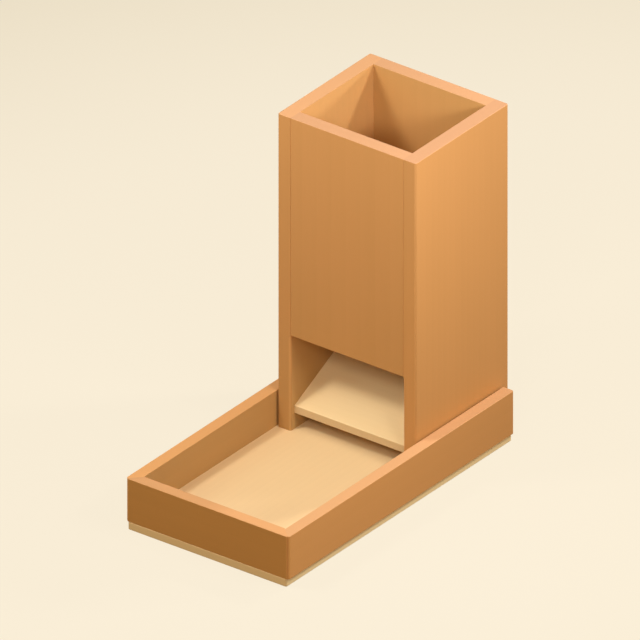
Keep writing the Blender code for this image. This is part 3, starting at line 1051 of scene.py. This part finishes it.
@dataclass
class Tower:
    """The lift-off tower: four panels round a square chute, with a ramp and two baffles."""

    corner_radius: float = 0.85 * MILLIMETRE
    exit_radius: float = 1.0 * MILLIMETRE
    seam_radius: float = 0.25 * MILLIMETRE
    rim_ease: float = 0.2 * MILLIMETRE
    board_ease: float = 0.2 * MILLIMETRE
    chute_front: float = field(init=False)
    chute_back: float = field(init=False)
    inner: float = field(init=False)
    foot: float = field(init=False)
    exit_top: float = field(init=False)
    rim: float = field(init=False)
    boards: list[Board] = field(default_factory=list)

    SLOPING_BOARDS = ("exit_ramp", "lower_baffle", "upper_baffle")
    # The outline of a sloping board is drawn in Y and Z and runs along X
    ACROSS = Matrix(((0, 0, 1, 0), (1, 0, 0, 0), (0, 1, 0, 0), (0, 0, 0, 1)))

    def build(self) -> None:
        """Makes the tower's seven boards from the boxes of their nodes."""
        front_low, front_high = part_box("tower_front_panel")
        self.chute_front = front_high.y + HAIRLINE
        self.chute_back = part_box("tower_back_panel")[0].y - HAIRLINE
        self.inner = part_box("tower_right_panel")[0].x
        self.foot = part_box("floor_panel")[1].z + HAIRLINE
        self.exit_top, self.rim = front_low.z, front_high.z
        self.boards = [self.side_panel(side) for side in Side]
        self.boards += [self.end_panel(end) for end in End]
        self.boards += [self.sloping_board(name) for name in self.SLOPING_BOARDS]

    def dress(self) -> None:
        """Turns every board into its finished object and gives the dowels their wood."""
        for board in self.boards:
            board.make()
        for number, name in enumerate(dowels()):
            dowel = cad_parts[name]
            dowel.data.materials.clear()
            dowel.data.materials.append(TURNED_BEECH.material(name, number))
            log.info("%s: packed node in %s", name, TURNED_BEECH.name)

    def side_corners(self, side: Side, front_inner: float) -> tuple[Corner, ...]:
        """The outline of a side panel.

        Args:
            side: The panel's side.
            front_inner: Radius of its inner front edge.

        Returns:
            Its corners, anticlockwise.
        """
        low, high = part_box(f"tower_{side.name.lower()}_panel")
        outer, eased = self.corner_radius, self.seam_radius
        if side is Side.LEFT:
            return (
                Corner(low.x, low.y, outer),
                Corner(high.x, low.y, front_inner, joint=True, wiped=True),
                Corner(high.x, high.y, eased),
                Corner(low.x, high.y, outer),
            )
        return (
            Corner(low.x, low.y, front_inner),
            Corner(high.x, low.y, outer),
            Corner(high.x, high.y, outer),
            Corner(low.x, high.y, eased, joint=True, wiped=True),
        )

    def side_panel(self, side: Side) -> Board:
        """A full-height side panel.

        Its inner front edge is rounded beside the exit and only eased where the front panel
        meets it. Its grooves hold the sloping boards and its holes the dowels.

        Args:
            side: The side that it stands on.

        Returns:
            The panel.
        """
        beside_exit = self.side_corners(side, self.exit_radius)
        at_seam = self.side_corners(side, self.seam_radius)
        levels = [
            (self.foot, beside_exit),
            (self.exit_top - self.exit_radius, beside_exit),
            (self.exit_top, at_seam),
            (self.rim, at_seam),
        ]
        mesh = loft(eased_levels(levels, self.rim_ease, sawn_ends=True))
        name = f"tower_{side.name.lower()}_panel"
        return Board(name, "tower", Grain.ALONG_Z, mesh, self.side_cutter(side))

    def side_cutter(self, side: Side) -> bmesh.types.BMesh:
        """The grooves and dowel holes of one side panel.

        Args:
            side: The panel's side.

        Returns:
            What is cut out of the panel.
        """
        cuts = bmesh.new()
        for name in self.SLOPING_BOARDS:
            low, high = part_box(name)
            ends = sorted((side.value * (self.inner - OVERSHOOT), side.value * (high.x + HAIRLINE)))
            sharp = tuple(Corner(y, z) for y, z in self.profile(name, HAIRLINE))
            levels = [Level(ends[0], 0, sharp), Level(ends[1], 0, sharp)]
            groove = mesh_data(name, loft(levels, self.ACROSS))
            cuts.from_mesh(groove)
            bpy.data.meshes.remove(groove)
        for name in dowels():
            low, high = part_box(name)
            middle = (low + high) / 2
            if middle.x * side.value < 0:
                continue
            if name.startswith("locating"):
                radius = (high.x - low.x) / 2 + HAIRLINE
                start, end = (Vector((middle.x, middle.y, z)) for z in (self.foot - OVERSHOOT, high.z))
            else:
                radius = (high.z - low.z) / 2 + HAIRLINE
                outer_end = high.x if side is Side.RIGHT else low.x
                start = Vector((side.value * (self.inner - OVERSHOOT), middle.y, middle.z))
                end = Vector((outer_end, middle.y, middle.z))
            drill(cuts, start, end, radius)
        return cuts

    def end_panel(self, end: End) -> Board:
        """The front or the back panel, flush between the side panels.

        Args:
            end: The end that it closes. The front panel starts above the exit.

        Returns:
            The panel.
        """
        name = f"tower_{end.value}_panel"
        low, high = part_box(name)
        front = end is End.FRONT
        across = self.inner - HAIRLINE
        at_front, at_back = (self.seam_radius, 0.0) if front else (0.0, self.seam_radius)
        corners = (
            Corner(-across, low.y, at_front, wiped=not front),
            Corner(across, low.y, at_front, joint=True),
            Corner(across, high.y, at_back, wiped=front),
            Corner(-across, high.y, at_back, joint=True),
        )
        foot = low.z if front else self.foot
        levels = eased_levels([(foot, corners), (high.z, corners)], self.rim_ease, sawn_ends=True)
        return Board(name, "tower", Grain.ALONG_Z, loft(levels), self.end_cutter(end))

    def end_cutter(self, end: End) -> bmesh.types.BMesh:
        """The dowel holes in the edges of the front or the back panel.

        Args:
            end: The end that the panel closes.

        Returns:
            What is cut out of the panel.
        """
        cuts = bmesh.new()
        for name in dowels(end.value):
            low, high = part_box(name)
            middle = (low + high) / 2
            sign = 1 if middle.x > 0 else -1
            deep = low.x if sign > 0 else high.x
            start = Vector((deep, middle.y, middle.z))
            outside = Vector((sign * (self.inner + OVERSHOOT), middle.y, middle.z))
            drill(cuts, start, outside, (high.z - low.z) / 2 + HAIRLINE)
        return cuts

    def profile(self, name: str, clearance: float) -> list[tuple[float, float]]:
        """Corners, in Y and Z, of a sloping board that meets the panel behind or before it.

        Args:
            name: The board's node.
            clearance: How far the outline is grown on all sides.

        Returns:
            The four corners, anticlockwise with Y to the right.
        """
        low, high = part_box(name)
        places = [vertex.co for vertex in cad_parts[name].data.vertices]
        at_front = [p.z for p in places if abs(p.y - low.y) < SAME_PLACE]
        at_back = [p.z for p in places if abs(p.y - high.y) < SAME_PLACE]
        rise = (max(at_back) - max(at_front)) / (high.y - low.y)
        close = MILLIMETRE
        front = self.chute_front if abs(low.y - self.chute_front) < close else low.y
        back = self.chute_back if abs(high.y - self.chute_back) < close else high.y
        front, back = front - clearance, back + clearance
        grown = clearance * math.hypot(1, rise)

        def top(y: float) -> float:
            """Height of the board's upper face at a Y."""
            return max(at_front) + rise * (y - low.y) + grown

        deep = max(at_front) - min(at_front) + 2 * grown
        return [(y, top(y) - deep) for y in (front, back)] + [(y, top(y)) for y in (back, front)]

    def sloping_board(self, name: str) -> Board:
        """The exit ramp or a baffle, whose ends lie in the side panels' grooves.

        Args:
            name: The board's node.

        Returns:
            The board.
        """
        low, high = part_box(name)
        sawn = (False, True, False, True)
        corners = tuple(
            Corner(y, z, self.board_ease, sawn=cut) for (y, z), cut in zip(self.profile(name, 0), sawn)
        )
        levels = eased_levels([(low.x, corners), (high.x, corners)], self.board_ease)
        return Board(name, "tower", Grain.ALONG_X, loft(levels, self.ACROSS))


@dataclass(frozen=True)
class Lamp:
    """A square soft box of the studio, aimed at the middle of the object."""

    name: str
    place: tuple[float, float, float]
    side: float
    power: float
    colour: str

    def make(self, target: Vector) -> None:
        """Hangs the lamp in the studio.

        Args:
            target: The point that it shines at.
        """
        light = bpy.data.lights.new(self.name, "AREA")
        light.shape = "SQUARE"
        light.size = self.side
        light.energy = self.power
        light.color = linear(self.colour)[:3]
        lamp = add_object(self.name, light)
        lamp.location = self.place
        lamp.rotation_mode = "QUATERNION"
        lamp.rotation_quaternion = (target - Vector(self.place)).to_track_quat("-Z", "Y")
        log.info("%s: %.2f W", self.name, self.power)


@dataclass(frozen=True)
class BackdropPaper:
    """Matt cream backdrop paper, which looks evenly lit and only faintly shaded.

    The camera sees mostly the glow, a painted pool of light: near_tone around its centre and
    far_tone away from it, and a share of the paper as the lamps light it. The object gets its light
    back in bounce_tone.
    """

    lit_tone: str = "#cfc4b2"
    bounce_tone: str = "#7a5a28"
    near_tone: str = "#fdf1da"
    far_tone: str = "#daccac"
    glow_centre: tuple[float, float, float] = (0.168, -0.024, 0.0)
    glow_radius: float = 0.38
    glow_fade: float = 0.45
    shadow_share: float = 0.1

    def material(self) -> bpy.types.Material:
        """Makes the paper's material.

        Returns:
            The material.
        """
        made = bpy.data.materials.new("cream_backdrop_paper")
        tree = emptied_tree(made)
        seen = seen_share(tree)
        place = add_node(tree, "ShaderNodeTexCoord").outputs["Object"]
        distance = add_node(
            tree, "ShaderNodeVectorMath", {"operation": "DISTANCE"}, {0: place, 1: self.glow_centre}
        ).outputs["Value"]
        fading = add_node(
            tree,
            "ShaderNodeMapRange",
            {"interpolation_type": "SMOOTHSTEP"},
            {
                "Value": distance,
                "From Min": self.glow_radius,
                "From Max": self.glow_radius + self.glow_fade,
            },
        ).outputs["Result"]
        tones = []
        for factor, first, second in (
            (seen, self.bounce_tone, self.lit_tone),
            (fading, self.near_tone, self.far_tone),
        ):
            mixed = add_node(
                tree,
                "ShaderNodeMix",
                {"data_type": "RGBA"},
                {"Factor_Float": factor, "A_Color": linear(first), "B_Color": linear(second)},
            )
            tones.append(socket(mixed.outputs, "Result_Color"))
        lit = add_node(tree, "ShaderNodeBsdfDiffuse", inputs={"Color": tones[0]}).outputs["BSDF"]
        glow = add_node(
            tree, "ShaderNodeEmission", inputs={"Color": tones[1], "Strength": 1.0}
        ).outputs["Emission"]
        share = add_node(
            tree, "ShaderNodeMath", {"operation": "MULTIPLY"}, {0: seen, 1: 1 - self.shadow_share}
        ).outputs["Value"]
        surface = add_node(tree, "ShaderNodeMixShader", inputs={0: share, 1: lit, 2: glow})
        add_node(tree, "ShaderNodeOutputMaterial", inputs={"Surface": surface.outputs["Shader"]})
        return made


@dataclass
class Studio:
    """The floor, the lamps, the light of the room and the camera."""

    floor_reach: float = 8.0
    floor_drop: float = 0.02 * MILLIMETRE
    paper: BackdropPaper = BackdropPaper()
    surround_tone: str = "#f8eed6"
    room_tone: str = "#fff9d3"
    room_strength: float = 0.2
    azimuth_degrees: float = 36.87
    elevation_degrees: float = 29.25
    picture_side: float = 0.23875
    aim_right: float = -1.18 * MILLIMETRE
    aim_up: float = 60.62 * MILLIMETRE
    camera_distance: float = 1.5
    lamps: tuple[Lamp, ...] = (
        Lamp("key_light", (-0.102, -0.137, 0.284), 0.051, 0.373, "#ffffff"),
        Lamp("left_light", (-0.288, -0.233, 0.325), 0.12, 0.164, "#ffffff"),
        Lamp("front_light", (0.354, -0.614, 0.566), 0.198, 2.03, "#ffffff"),
        Lamp("right_light", (0.174, 0.0, 0.218), 0.022, 0.132, "#ffffff"),
        Lamp("corner_light", (0.142, -0.052, 0.201), 0.031, 0.081, "#ffffff"),
        Lamp("side_light", (0.2, -0.03, 0.26), 0.04, 0.059, "#ffffff"),
        Lamp("rear_top_light", (0.093, 0.199, 0.302), 0.025, 0.447, "#ffffff"),
        Lamp("rear_light", (0.718, 0.856, 0.308), 0.107, 3.83, "#ffffff"),
    )

    def build(self) -> None:
        """Sets up the whole studio."""
        self.floor()
        self.room()
        middle = Vector((0, 0, (packed_low.z + packed_high.z) / 2))
        for lamp in self.lamps:
            lamp.make(middle)
        self.camera()
        bpy.context.scene.view_settings.view_transform = "Standard"

    def floor(self) -> None:
        """A pale sheet of paper that keeps the object's soft shadow."""
        mesh = bmesh.new()
        bmesh.ops.create_grid(mesh, x_segments=2, y_segments=2, size=self.floor_reach / 2)
        sheet = add_object("studio_floor", mesh_data("studio_floor", mesh))
        sheet.location.z = -self.floor_drop
        sheet.data.materials.append(self.paper.material())

    def room(self) -> None:
        """The even light of the room, and the backdrop's colour past the floor's edge."""
        world = bpy.data.worlds.new("studio_room")
        tree = emptied_tree(world)
        light, backdrop = (
            add_node(
                tree, "ShaderNodeBackground", inputs={"Color": linear(tone), "Strength": strength}
            ).outputs["Background"]
            for tone, strength in ((self.room_tone, self.room_strength), (self.surround_tone, 1.0))
        )
        surface = add_node(
            tree, "ShaderNodeMixShader", inputs={0: seen_share(tree), 1: light, 2: backdrop}
        )
        add_node(tree, "ShaderNodeOutputWorld", inputs={"Surface": surface.outputs["Shader"]})
        bpy.context.scene.world = world

    def camera(self) -> None:
        """A parallel view from the front right and above, as in the photograph."""
        turn, tilt = math.radians(self.azimuth_degrees), math.radians(self.elevation_degrees)
        right = Vector((math.cos(turn), math.sin(turn), 0))
        back = Vector((math.sin(turn), -math.cos(turn), 0)) * math.cos(tilt)
        back.z = math.sin(tilt)
        up = back.cross(right)
        data = bpy.data.cameras.new("camera")
        data.type = "ORTHO"
        data.ortho_scale = self.picture_side
        data.clip_end = 4 * self.camera_distance
        camera = add_object("camera", data)
        camera.location = right * self.aim_right + up * self.aim_up + back * self.camera_distance
        camera.rotation_mode = "QUATERNION"
        camera.rotation_quaternion = back.to_track_quat("Z", "Y")
        bpy.context.scene.camera = camera


def main() -> None:
    """Builds the tray, the tower and the studio, in that order."""
    logging.basicConfig(level=logging.INFO, format="%(message)s")
    for assembly in (Tray(), Tower()):
        assembly.build()
        assembly.dress()
        log.info("%s: %d boards", type(assembly).__name__, len(assembly.boards))
    Studio().build()


if __name__ == "__main__":
    main()
